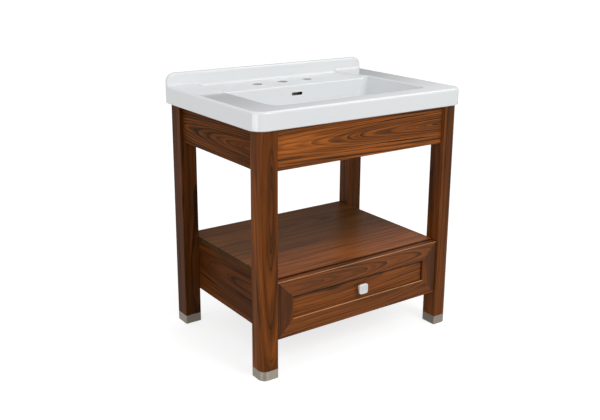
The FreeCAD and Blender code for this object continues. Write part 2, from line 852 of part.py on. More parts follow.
# Drawer front
def member_profile(edge, inwards):
    """A frame member's section as (y, across): eased edges in front, groove for the panel behind them."""
    inner = edge + inwards * size.frame_width
    deep = inner - inwards * (size.panel_tongue + size.panel_gap)
    groove_front = panel_face_y - size.panel_gap
    groove_back = panel_back_y + size.panel_gap
    return [
        (front_face_y + size.frame_ease, edge),
        (front_face_y, edge + inwards * size.frame_ease),
        (front_face_y, inner - inwards * size.frame_ease),
        (front_face_y + size.frame_ease, inner),
        (groove_front, inner),
        (groove_front, deep),
        (groove_back, deep),
        (groove_back, inner),
        (front_back_y, inner),
        (front_back_y, edge),
    ]


def mitre_outlines(along_ends, edge, inwards):
    """The corner triangles cut off a member at 45 degrees, as (along, across)."""
    inner = edge + inwards * size.frame_width
    outlines = []
    for end, direction in zip(along_ends, (1, -1)):
        outlines.append([(end, edge), (end, inner), (end + direction * size.frame_width, inner)])
    return outlines


def make_frame_rail(label, edge, inwards, tools):
    body = new_body(f"{label}_stock")
    section = sketch_on(body, "YZ_Plane", -front_half_x)
    trace(section, [to(y, z) for y, z in member_profile(edge, inwards)])
    pad(body, section, 2 * front_half_x)
    mitres = sketch_on(body, "XZ_Plane", -front_face_y)
    for outline in mitre_outlines((-front_half_x, front_half_x), edge, inwards):
        trace(mitres, [to(x, z) for x, z in outline])
    pocket(body, mitres, size.front_thick)
    return keep(label, cut("frame_rail", body, tools) if tools else body)


def make_frame_stile(label, edge, inwards):
    body = new_body(label)
    section = sketch_on(body, "XY_Plane", front_foot_z)
    trace(section, [to(x, y) for y, x in member_profile(edge, inwards)])
    pad(body, section, front_top_z - front_foot_z)
    mitres = sketch_on(body, "XZ_Plane", -front_face_y)
    for outline in mitre_outlines((front_foot_z, front_top_z), edge, inwards):
        trace(mitres, [to(x, z) for z, x in outline])
    pocket(body, mitres, size.front_thick)
    return keep(label, body)


def make_drawer_front():
    holes = front_screw_holes("rail_hole")
    make_frame_rail("front_bottom_rail", front_foot_z, 1, holes[0::2])
    make_frame_rail("front_top_rail", front_top_z, -1, holes[1::2])
    make_frame_stile("front_left_stile", -front_half_x, 1)
    make_frame_stile("front_right_stile", front_half_x, -1)
    reach = size.panel_tongue - size.frame_width
    panel = block("panel_board", (-front_half_x - reach, panel_face_y, front_foot_z - reach),
                  (front_half_x + reach, panel_back_y, front_top_z + reach))
    keep("front_panel", cut("panel", panel, [knob_screw_hole("panel_hole")]))


# Knob
def square_outline(half, corner):
    """A rounded square about the knob's axis, as (x, z)."""
    low, high = front_mid_z - half, front_mid_z + half
    return rounded([(-half, low), (half, low), (half, high), (-half, high)], [corner] * 4)


def make_knob():
    half = size.knob_side / 2
    tip_y = panel_face_y - size.knob_stand
    body = new_body("knob_turned")
    head = sketch_on(body, "XZ_Plane", -(tip_y + size.knob_head))
    trace(head, square_outline(half, size.knob_corner))
    pad(body, head, size.knob_head)
    soften(body, lambda box: near(box.YMin, box.YMax), size.knob_edge)
    dish = sketch_on(body, "XZ_Plane", -tip_y)
    trace(dish, square_outline(half - size.knob_rim, size.knob_corner - size.knob_rim))
    pocket(body, dish, size.knob_dish)
    stem = sketch_on(body, "XZ_Plane", -(tip_y + size.knob_head))
    circle(stem, 0, front_mid_z, size.knob_stem_radius)
    pad(body, stem, size.knob_stand - size.knob_head, back=True)
    keep("knob", cut("knob_drilled", body, [knob_screw_hole("thread_hole")]))
    shank = (size.knob_screw_radius, inner_front_back_y - panel_face_y + size.knob_screw_bite)
    head = (size.knob_head_radius, size.knob_head_height)
    seat = (0, inner_front_back_y, front_mid_z)
    keep("knob_screw", headed_bolt("knob_screw", seat, (0, -1, 0), shank, head))


# Sink top
rim_z = size.frame_height + size.slab_height
splash_top_z = rim_z + size.splash_rise
splash_face_y = back_y - size.splash_thick
deck_z = rim_z - size.deck_drop
basin_half_x = sink_width / 2 - size.rim_side
basin_front_y = sink_front_y + size.rim_front
basin_back_y = splash_face_y - size.deck_length
basin_floor_z = rim_z - size.basin_depth
basin_mid_y = (basin_front_y + basin_back_y) / 2
faucet_y = back_y - size.faucet_setback
basin_side_lean = math.tan(math.radians(BASIN_SIDE_DEG))
basin_end_lean = math.tan(math.radians(BASIN_END_DEG))
deck_low_x = basin_half_x - size.deck_inset - size.deck_slope


def basin_outline(depth, grow, corners):
    """The basin at a depth below the rim, or its outside with a grow. The sides lean in more than the
    front and back. The corners are the front and back radius."""
    x = basin_half_x + grow - depth * basin_side_lean
    front = basin_front_y - grow + depth * basin_end_lean
    back = basin_back_y + grow - depth * basin_end_lean
    front_corner, back_corner = [corner + grow for corner in corners]
    return rounded([(-x, front), (x, front), (x, back), (-x, back)],
                   [front_corner, front_corner, back_corner, back_corner])


def ogee_recess():
    """The sunk deck's section as (x, z): flat, with an S-curve up to the rim at each end."""
    low_x = deck_low_x
    mid_x = low_x + size.deck_slope / 2
    high_x = low_x + size.deck_slope
    mid_z = (deck_z + rim_z) / 2
    radius = (size.deck_slope * size.deck_slope + size.deck_drop * size.deck_drop) / (4 * size.deck_drop)
    above = rim_z + size.overrun
    return [
        to(low_x, deck_z),
        bend(mid_x, mid_z, (low_x, deck_z + radius), radius),
        bend(high_x, rim_z, (high_x, rim_z - radius), radius),
        to(high_x, above),
        to(-high_x, above),
        to(-high_x, rim_z),
        bend(-mid_x, mid_z, (-high_x, rim_z - radius), radius),
        bend(-low_x, deck_z, (-low_x, deck_z + radius), radius),
    ]


def sink_slab(body):
    """The slab with round front corners, and the backsplash along its back."""
    half = sink_width / 2
    slab = sketch_on(body, "XY_Plane", size.frame_height)
    trace(slab, rounded([(-half, back_y), (-half, sink_front_y), (half, sink_front_y), (half, back_y)],
                        [None, size.sink_corner, size.sink_corner, None]))
    pad(body, slab, size.slab_height)
    splash = sketch_on(body, "XZ_Plane", -back_y)
    trace(splash, rounded([(-half, size.frame_height), (half, size.frame_height),
                           (half, splash_top_z), (-half, splash_top_z)],
                          [None, None, size.splash_corner, size.splash_corner]))
    pad(body, splash, size.splash_thick)


def sink_bowl(body):
    """The bowl under the slab, the sunk deck with its cove along the backsplash, and the basin."""
    mouth_corners = [size.basin_front_corner, size.basin_back_corner]
    floor_corner = lesser(size.basin_floor_corner, size.basin_front_corner)
    floor_corners = [floor_corner, floor_corner]
    bowl_foot = size.basin_depth + size.bowl_wall
    bowl_foot_z = rim_z - bowl_foot
    bowl = sketch_on(body, "XY_Plane", size.frame_height)
    trace(bowl, basin_outline(size.slab_height, size.bowl_wall, mouth_corners))
    foot = sketch_on(body, "XY_Plane", bowl_foot_z)
    trace(foot, basin_outline(bowl_foot, size.bowl_wall, floor_corners))
    drawn(body, "Additive", bowl, foot)
    soften(body, lambda box: near(box.ZMax, bowl_foot_z), size.basin_floor_round)
    deck = sketch_on(body, "XZ_Plane", -basin_mid_y)
    trace(deck, ogee_recess())
    pocket(body, deck, splash_face_y - basin_mid_y)
    soften(body, lambda box: near(box.YMin, splash_face_y) and near(box.YMax, splash_face_y)
           and near_or_between(box.ZMin, box.ZMax, deck_z, rim_z), size.splash_foot)
    basin = sketch_on(body, "XY_Plane", rim_z)
    trace(basin, basin_outline(dim(0), dim(0), mouth_corners))
    floor = sketch_on(body, "XY_Plane", basin_floor_z)
    trace(floor, basin_outline(size.basin_depth, dim(0), floor_corners))
    drawn(body, "Subtractive", basin, floor)
    soften(body, lambda box: near(box.ZMin, basin_floor_z) and near(box.ZMax, basin_floor_z),
           lesser(size.basin_floor_round, floor_corner * FLOOR_ROUND_SHARE))


def near_or_between(low, high, floor, roof):
    """Whether a stretch lies between two places, or on them."""
    return low > floor.value - SAME_PLACE and high < roof.value + SAME_PLACE


def sink_edges(body):
    """Glazed edges: the basin's mouth, the outer rim up round the backsplash, and the underside."""
    half = sink_width / 2

    def mouth(box):
        return (near_or_between(box.ZMin, box.ZMax, deck_z, rim_z)
                and near_or_between(box.YMin, box.YMax, basin_front_y, basin_back_y)
                and near_or_between(box.XMin, box.XMax, -basin_half_x, basin_half_x))

    def outer(box):
        on_end = near(box.XMax, half) or near(box.XMin, -half)
        on_rim = near(box.ZMin, rim_z) and near(box.ZMax, rim_z)
        on_splash = near(box.YMin, splash_face_y) and near(box.YMax, splash_face_y)
        if on_rim:
            return on_end or near(box.YMin, sink_front_y)
        return on_splash and near(box.ZMax, splash_top_z)

    def under(box):
        return (near(box.ZMax, size.frame_height) and near(box.ZMin, size.frame_height)
                and (near(box.XMax, half) or near(box.XMin, -half) or near(box.YMin, sink_front_y)))

    def splash_back(box):
        on_back = near(box.YMin, back_y) and near(box.YMax, back_y)
        return on_back and near(box.ZMax, splash_top_z)

    soften(body, mouth, size.basin_edge)
    soften(body, outer, size.sink_edge)
    soften(body, splash_back, size.splash_back_edge)
    soften(body, under, size.sink_under_edge)


def sink_openings(body):
    """Relief under the faucet deck, faucet holes, drain with its seat, and the overflow slot."""
    relief_x = deck_low_x - size.relief_margin
    relief_front_y = basin_back_y + size.bowl_wall
    relief_back_y = back_y - size.rail_recess - size.rail_thick - size.relief_margin
    relief = sketch_on(body, "XY_Plane", size.frame_height)
    trace(relief, rounded([(-relief_x, relief_front_y), (relief_x, relief_front_y),
                           (relief_x, relief_back_y), (-relief_x, relief_back_y)],
                          [size.relief_corner] * 4))
    pocket(body, relief, size.slab_height - size.deck_drop - size.deck_thick, back=True)
    faucets = sketch_on(body, "XY_Plane", rim_z)
    for step in (-1, 0, 1):
        circle(faucets, step * size.faucet_spacing, faucet_y, size.faucet_hole_radius)
    pocket(body, faucets, size.deck_drop + size.deck_thick + size.overrun)
    seat = sketch_on(body, "XY_Plane", basin_floor_z)
    circle(seat, 0, basin_mid_y, size.drain_seat_radius)
    pocket(body, seat, size.drain_seat_depth)
    drain = sketch_on(body, "XY_Plane", basin_floor_z)
    circle(drain, 0, basin_mid_y, size.drain_hole_radius)
    pocket(body, drain, size.bowl_wall + size.overrun)
    high, half = rim_z - size.overflow_drop, size.overflow_width / 2
    low_z, high_z = high - size.overflow_height / 2, high + size.overflow_height / 2
    overflow = sketch_on(body, "XZ_Plane", -basin_mid_y)
    overflow_corner = lesser(size.overflow_corner, size.overflow_height * OVERFLOW_ROUND_SHARE)
    trace(overflow, rounded([(-half, low_z), (half, low_z), (half, high_z), (-half, high_z)],
                            [overflow_corner] * 4))
    behind_y = basin_back_y + size.bowl_wall - size.overflow_drop * basin_end_lean
    pocket(body, overflow, behind_y - size.overflow_wall - basin_mid_y)


def make_sink():
    body = new_body("sink_top")
    sink_slab(body)
    sink_bowl(body)
    sink_edges(body)
    sink_openings(body)
    return body


def write_nodes():
    """Stops if anything failed, and writes each piece to its own file."""
    doc.recompute()
    for item in doc.Objects:
        if "Invalid" in item.State or "Error" in item.State:
            raise RuntimeError(f"{item.Name} failed: {item.State}")
    os.makedirs("parts", exist_ok=True)
    for piece in nodes:
        shape = piece.Shape
        if shape.isNull() or not shape.isValid():
            raise RuntimeError(f"{piece.Label} has no valid shape")
        shape.exportStep(f"parts/{piece.Label}.step")
        print(f"{piece.Label}: {len(shape.Solids)} solid(s), {shape.Volume / 1000:.1f} cm3")


for name in ("front", "left", "right", "back"):
    make_rail(name)
for name, (side, depth) in LEGS.items():
    make_leg(name, side, depth)
    make_ferrule(name, side, depth)
    make_corner_block(name, side, depth)
make_foot_screws()
make_corner_bolts()
make_case()
make_slides()
make_drawer_box()
make_drawer_front()
make_knob()
keep("sink_top", make_sink())
write_nodes()
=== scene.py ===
# %% [markdown]
# # A walnut console vanity
# A glazed sink top stands on four walnut legs, with a shelf and one wide drawer below. The imported model
# already holds every piece at its real size, so this lesson finishes the surfaces, adds small repeated
# fittings, and sets up a studio. First the model is loaded, and its box is kept.

# %% Load the imported model
import json
import math
from types import SimpleNamespace

import bpy
from mathutils import Matrix, Vector


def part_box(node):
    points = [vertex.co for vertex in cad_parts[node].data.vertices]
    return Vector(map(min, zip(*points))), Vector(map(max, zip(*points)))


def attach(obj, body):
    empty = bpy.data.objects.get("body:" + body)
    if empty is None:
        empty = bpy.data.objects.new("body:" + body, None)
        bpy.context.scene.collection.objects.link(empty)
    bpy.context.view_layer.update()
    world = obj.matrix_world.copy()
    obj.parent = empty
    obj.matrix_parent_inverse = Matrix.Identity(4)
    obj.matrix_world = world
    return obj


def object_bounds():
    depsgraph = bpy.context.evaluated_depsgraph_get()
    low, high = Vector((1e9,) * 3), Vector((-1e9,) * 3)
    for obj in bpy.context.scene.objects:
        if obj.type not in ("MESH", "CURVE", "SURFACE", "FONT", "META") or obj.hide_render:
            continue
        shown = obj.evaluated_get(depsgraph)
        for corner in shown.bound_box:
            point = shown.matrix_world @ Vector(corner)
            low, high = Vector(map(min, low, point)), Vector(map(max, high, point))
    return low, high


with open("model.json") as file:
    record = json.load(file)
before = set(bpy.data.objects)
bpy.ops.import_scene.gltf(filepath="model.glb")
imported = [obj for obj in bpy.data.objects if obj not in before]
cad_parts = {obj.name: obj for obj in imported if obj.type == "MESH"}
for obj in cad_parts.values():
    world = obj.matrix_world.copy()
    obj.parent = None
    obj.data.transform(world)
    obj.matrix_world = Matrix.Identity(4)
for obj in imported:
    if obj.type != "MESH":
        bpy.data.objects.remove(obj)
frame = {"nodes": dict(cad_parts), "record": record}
nodes = frame["nodes"]
record = frame["record"]
cad_low, cad_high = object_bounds()
print(f"{len(nodes)} pieces, {[round(side, 3) for side in cad_high - cad_low]} m")

# %% [markdown]
# ## Sums on sockets
# A wood or a glaze is a page of small sums. Wired by hand, each sum is a node and a few links, which soon
# hides the idea. One small class wraps a socket instead: adding or multiplying two wires makes the Math node
# for it, and `add` makes any other node, first with its settings and then with its sockets.

# %% A socket that does sums
class Wire:
    """An output socket in a node tree. Operators on wires add Math nodes."""

    def __init__(self, tree, socket=None):
        self.tree = tree
        self.socket = socket

    def add(self, kind, settings=None, inputs=None, output=0):
        node = self.tree.nodes.new(kind)
        for name, value in (settings or {}).items():
            setattr(node, name, value)
        for name, value in (inputs or {}).items():
            self.plug(node, name, value)
        return Wire(self.tree, pick(node.outputs, output))

    def plug(self, node, name, value):
        """Links a wire to a node's input, or sets a plain value there."""
        socket = pick(node.inputs, name)
        if isinstance(value, Wire):
            self.tree.links.new(value.socket, socket)
        else:
            socket.default_value = value

    def maths(self, operation, *values):
        return self.add("ShaderNodeMath", {"operation": operation}, dict(enumerate(values)))

    def __add__(self, other):
        return self.maths("ADD", self, other)

    def __sub__(self, other):
        return self.maths("SUBTRACT", self, other)

    def __mul__(self, other):
        return self.maths("MULTIPLY", self, other)

    def __truediv__(self, other):
        return self.maths("DIVIDE", self, other)

    def __rsub__(self, other):
        return self.maths("SUBTRACT", other, self)

    __radd__ = __add__
    __rmul__ = __mul__

    def over(self, limit):
        """1 above a limit, 0 below it."""
        return self.maths("GREATER_THAN", self, limit)

    def most(self, other):
        return self.maths("MAXIMUM", self, other)

    def smooth(self, low, high):
        """0 below low, 1 above high, and an S-curve between."""
        inputs = {"Value": self, "From Min": low, "From Max": high}
        return self.add("ShaderNodeMapRange", {"interpolation_type": "SMOOTHSTEP"}, inputs)

    def blend(self, low, high):
        """A colour between two, with this wire as the share of the second."""
        inputs = {"Factor_Float": self, "A_Color": low, "B_Color": high}
        return self.add("ShaderNodeMix", {"data_type": "RGBA"}, inputs, "Result_Color")


def pick(sockets, key):
    """A socket by its number, identifier or name."""
    if isinstance(key, int):
        return sockets[key]
    return next(socket for socket in sockets if key in (socket.identifier, socket.name))


print("sums ready")

# %% [markdown]
# A few short helpers follow: one for a new material, one that feeds its shader, and three for the vectors
# and noises that nearly every finish needs. Colours are written as they look on a screen and turned into the
# light values that a shader works in.

# %% Helpers for finishes
def new_finish(name):
    """A material, its Principled shader, and its Object coordinates as a wire."""
    material = bpy.data.materials.new(name)
    material.use_nodes = True
    shader = material.node_tree.nodes["Principled BSDF"]
    return material, shader, Wire(material.node_tree).add("ShaderNodeTexCoord", output="Object")


def feed(place, shader, inputs):
    for name, value in inputs.items():
        place.plug(shader, name, value)


def split(vector):
    """The three parts of a vector."""
    return [vector.add("ShaderNodeSeparateXYZ", inputs={"Vector": vector}, output=axis) for axis in "XYZ"]


def join(x, y, z):
    wire = next(part for part in (x, y, z) if isinstance(part, Wire))
    return wire.add("ShaderNodeCombineXYZ", inputs={"X": x, "Y": y, "Z": z})


def noise(vector, scale=1.0, detail=2.0, output="Fac"):
    inputs = {"Vector": vector, "Scale": scale, "Detail": detail}
    return vector.add("ShaderNodeTexNoise", inputs=inputs, output=output)


def colour(red, green, blue):
    """A screen colour, 0 to 255, as light values."""
    parts = [part / 255 for part in (red, green, blue)]
    return [part / 12.92 if part <= 0.04045 else ((part + 0.055) / 1.055) ** 2.4 for part in parts] + [1.0]


def dress(node, material):
    """Gives a CAD node its finish."""
    slots = nodes[node].data.materials
    slots.clear()
    slots.append(material)


print("helpers ready")

# %% [markdown]
# ## Timber
# Walnut shows long arches where a board is cut across the cone of its growth rings. A stretched noise only
# gives streaks, so each board is cut out of a tree here: the distance from a slanted pith line gives the
# rings, and the face of the board meets them in arches. The same rings come out as arcs on the end grain and
# as straight lines on the edges, as they do on solid wood. First come a board's own directions, and how far
# each place in it lies from the pith, which sways slowly and ripples as a grown trunk does.

# %% A place in the tree
AXES = "XYZ"
GRAIN_SWAY = 0.022
GRAIN_WAVE = 0.004


def board_frame(place, node, grain, face):
    """A board's box, and wires along its grain, across it and down from its face."""
    low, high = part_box(node)
    middle = (low + high) / 2
    half = (high - low) / 2
    thick = face[1]
    cross = next(axis for axis in AXES if axis not in (grain, thick))
    length, breadth, depth = (AXES.index(axis) for axis in (grain, cross, thick))
    parts = split(place)
    if face[0] == "-":
        deep = parts[depth] - low[depth]
    else:
        deep = high[depth] - parts[depth]
    return SimpleNamespace(low=low, high=high, parts=parts, deep=deep,
                           along=parts[length] - middle[length], half_length=half[length],
                           across=parts[breadth] - middle[breadth], half_breadth=half[breadth])


def pith_distance(board, cut):
    """How far each place lies from the pith."""
    along, across, deep, seed = board.along, board.across, board.deep, cut.seed
    sway = split(noise(join(along * 1.7 + seed, across * 2 + seed, deep * 2), detail=1.0, output="Color"))
    wave = split(noise(join(along * 7 + seed, across * 22, deep * 22 + seed), output="Color"))
    side = across - cut.heart + (sway[0] - 0.5) * GRAIN_SWAY + (wave[0] - 0.5) * GRAIN_WAVE
    back = cut.bury + along * cut.rise - deep + (sway[1] - 0.5) * GRAIN_SWAY + (wave[1] - 0.5) * GRAIN_WAVE
    square = side * side + back * back
    return square.maths("SQRT", square)


print("tree ready")

# %% [markdown]
# A year's growth is pale early wood that darkens to a thin line of late wood, stronger in some years than in
# others. Finer marks lie around it: hair lines, broad bands and dark streaks of pigment that follow the
# rings, and strands and fibre that run straight along the grain. Each mark is a mask from 0 to 1, out of a
# noise that is stretched along the board and has its own fineness across it.

# %% Marks in the wood
RING_WANDER = 2.4
BANDS_PER_M, STREAKS_PER_M, LINES_PER_M = 34, 150, 300
STRANDS_PER_M, FIBRES_PER_M = 210, 850


def wood_marks(board, radius, cut):
    """The masks of the marks that make up a board's figure."""
    along, across, deep, seed = board.along, board.across, board.deep, cut.seed
    wander = noise(join(radius * 60, along * 0.5 + seed, seed), detail=1.0)
    turn = radius / cut.ring + wander * RING_WANDER
    share = turn.maths("FRACT", turn)
    year = turn.maths("FLOOR", turn)
    power = year.add("ShaderNodeTexWhiteNoise", {"noise_dimensions": "1D"}, {"W": year + seed}, "Value")
    late = (share.smooth(0.55, 0.93) - share.smooth(0.95, 1.0)) * (power * power * 0.88 + 0.12)
    lines = noise(join(radius * (LINES_PER_M * cut.coarse), along * 1.6 + seed, seed), detail=3.0)
    bands = noise(join(radius * BANDS_PER_M + seed, along * 1.1, seed), detail=2.0)
    streaks = noise(join(radius * (STREAKS_PER_M * cut.coarse), along * 2.4 + seed, seed))
    fine = STRANDS_PER_M * cut.coarse
    strands = noise(join(along * 3.5 + seed, across * fine, deep * fine + seed), detail=3.0)
    fibre = noise(join(along * 16, across * FIBRES_PER_M, deep * FIBRES_PER_M + seed))
    return SimpleNamespace(late=late, lines=lines.smooth(0.44, 0.62), bands=bands.smooth(0.34, 0.68),
                           streaks=streaks.smooth(0.58, 0.70), strands=strands.smooth(0.42, 0.62),
                           fibre=fibre)


print("marks ready")

# %% [markdown]
# Colour goes on in the order in which a painter would lay it: the plain wood, then lines, rings and streaks,
# and the weave of the fibre over all. Boards of one tree differ, so each has a tone and may have a tint; the
# back legs are toned darker as painted shade. A board can be painted paler towards its low side, as painted
# light.

# %% Colour of the wood
WALNUT = {
    "light": colour(173, 97, 41),
    "middle": colour(132, 73, 32),
    "dark": colour(69, 43, 24),
    "streak": colour(42, 30, 20),
    # The colour of the painted highlight on the drawer front's top edges.
    "arris": colour(204, 150, 108),
    "ring_share": 0.95,
    "line_share": 0.72,
    "streak_share": 0.8,
    "fibre_share": 0.4,
}
PAINTED_LIGHT_FROM, PAINTED_LIGHT_TO = -0.02, 0.24
LINE_PART, STRAND_PART = 0.6, 0.4


def shade(wood, name, cut):
    """One of a wood's colours, toned and tinted for a board."""
    return [part * cut.tone * share for part, share in zip(wood[name], cut.tint)] + [1.0]


def figured_colour(board, marks, wood, cut):
    """The colour of a board's figure."""
    dark = shade(wood, "dark", cut)
    plain = marks.bands.blend(shade(wood, "light", cut), shade(wood, "middle", cut))
    # Painted light: the board is paler towards its low side, which on the shelf is the front, out from under
    # the sink.
    if cut.sap:
        painted_light_colour = [part * cut.tone * (1 + cut.sap) for part in wood["light"][:3]] + [1.0]
        plain = (0 - board.across).smooth(PAINTED_LIGHT_FROM, PAINTED_LIGHT_TO).blend(plain, painted_light_colour)
    hair = marks.lines * LINE_PART + marks.strands * STRAND_PART
    lined = (hair * (wood["line_share"] * cut.figure)).blend(plain, dark)
    ringed = (marks.late * (wood["ring_share"] * cut.figure)).blend(lined, dark)
    pigment = marks.streaks * (wood["streak_share"] * cut.figure)
    streaked = pigment.blend(ringed, shade(wood, "streak", cut))
    weave = marks.fibre.smooth(0.3, 0.7).blend(colour(140, 140, 140), colour(255, 255, 255))
    return weave.add("ShaderNodeMix", {"data_type": "RGBA", "blend_type": "MULTIPLY"},
                     {"Factor_Float": wood["fibre_share"], "A_Color": streaked, "B_Color": weave},
                     "Result_Color")


print(f"walnut has {len(WALNUT)} values")

# %% [markdown]
# Edges tell how a board was worked. End grain drinks stain, so it is dark. A border of painted shade lies
# along the top and the ends of the framed panel, where the frame stands over it, and a line of painted shade
# on the lip of the shelf. The top arrises of the drawer's front carry a painted highlight, brighter in some
# places than in others.

# %% Worked edges
END_GRAIN = 0.0005
# End grain is stained dark; the panel's border and the shelf's lip get painted shade.
END_STAIN, PAINTED_SHADE_SHARE = 0.75, 0.8
SHADE_BORDER_BLUR, MITRE_BLUR, MITRE_SHARE = 0.003, 0.001, 0.7
# How bright the painted highlight on the top edges is, at least and at most.
HIGHLIGHT_LEAST, HIGHLIGHT_MORE = 0.35, 0.6


def worked_edges(board, figured, wood, cut):
    """A board's colour with its stained ends, its painted shade and highlight, and the mask of its ends."""
    stain_and_shade = shade(wood, "streak", cut)
    far = board.along.maths("ABSOLUTE", board.along)
    ends = far.over(board.half_length - END_GRAIN)
    edged = (ends * END_STAIN).blend(figured, stain_and_shade)
    # Painted shade along the panel's top and ends, where the frame stands in front of it.
    if cut.seam:
        top = board.half_breadth - cut.seam
        end = board.half_length - cut.seam * MITRE_SHARE
        above = board.across.smooth(top - SHADE_BORDER_BLUR, top)
        shade_border_mask = above.most(far.smooth(end - MITRE_BLUR, end + MITRE_BLUR))
        edged = (shade_border_mask * PAINTED_SHADE_SHARE).blend(edged, stain_and_shade)
    # Painted shade on the shelf's front lip, in the gap behind the drawer's front.
    if cut.lip:
        lip = (0 - board.across).over(board.half_breadth - cut.lip)
        edged = (lip * PAINTED_SHADE_SHARE).blend(edged, stain_and_shade)
    # A painted highlight along the top front edge, brighter in some places than in others.
    if cut.arris:
        y, z = board.parts[1:]
        strip = z.over(board.high.z - cut.arris) * (1 - y.over(board.low.y + cut.arris))
        highlight_patches = noise(join(board.along * 5 + cut.seed, cut.seed, cut.seed), detail=1.0).smooth(0.35, 0.65)
        edged = (strip * (highlight_patches * HIGHLIGHT_MORE + HIGHLIGHT_LEAST)).blend(edged, wood["arris"])
    return edged, ends


print("edges ready")

# %% [markdown]
# Now a board can be cut from the tree and finished. A thin satin lacquer lies over the colour, duller where
# fibre stands up and on the ends. The Bevel node eases the sharp edges of the CAD solid where light meets
# them, and a shallow bump lifts the fibre. What a cut leaves unsaid comes from a plain one.

# %% A board cut from the tree
EDGE_EASE = 0.0009
FIBRE_DULLNESS, END_DULLNESS = 0.16, 0.45
PLAIN_CUT = {
    "heart": 0.0,  # how far the pith lies to the side of the board's middle
    "bury": 0.05,  # how far it lies behind the face
    "rise": 0.05,  # how much deeper it gets along the board
    "ring": 0.005,  # the width of a year's growth
    "coarse": 1.0,  # under 1, the fine lines lie further apart
    "figure": 1.0,  # how strongly the marks show
    "tone": 1.0,  # how light the board is
    "tint": (1.0, 1.0, 1.0),  # how much it leans to red, green and blue
    "sap": 0.0,  # how much paler it is painted towards its low side, as painted light
    "seam": 0.0,  # the width of a border of painted shade along the high side and the ends
    "lip": 0.0,  # the width of a line of painted shade along the low side
    "arris": 0.0,  # the width of a painted highlight along the top edge in front
    "gloss": 0.06,  # how much the lacquer reflects
    "satin": 0.36,  # how dull it is
    "seed": 0.0,  # which part of the tree it comes from
}


def timber(name, node, grain, face, wood, **given):
    """A finish for one board, with its grain along an axis."""
    cut = SimpleNamespace(**{**PLAIN_CUT, **given})
    material, shader, place = new_finish(name)
    board = board_frame(place, node, grain, face)
    marks = wood_marks(board, pith_distance(board, cut), cut)
    edged, ends = worked_edges(board, figured_colour(board, marks, wood, cut), wood, cut)
    eased = place.add("ShaderNodeBevel", {"samples": 4}, {"Radius": EDGE_EASE})
    relief = marks.fibre * 0.6 - marks.late * 0.4
    bump = place.add("ShaderNodeBump", None, {"Strength": 0.25, "Distance": 0.0003, "Height": relief,
                                              "Normal": eased})
    dullness = marks.fibre * FIBRE_DULLNESS + ends * END_DULLNESS + cut.satin
    feed(place, shader, {"Base Color": edged, "Roughness": dullness, "Normal": bump,
                         "Specular IOR Level": cut.gloss})
    return material


print(f"a cut has {len(PLAIN_CUT)} values")

# %% [markdown]
# ## Which way each board runs
# A joiner lays the grain along a board's length: upright in the legs and stiles, across in the front rail,
# shelf and panel, front to back in the side boards. The wide front rail is a flat-sawn board whose arches
# open to the right. The front left leg is cut near the heart, so it shows a flame, and the other legs come
# from nearer to the edge of the log, so their lines run straighter. The back legs are toned dark as painted
# shade, and the shelf is painted paler in front, as painted light where it comes out from under the sink.

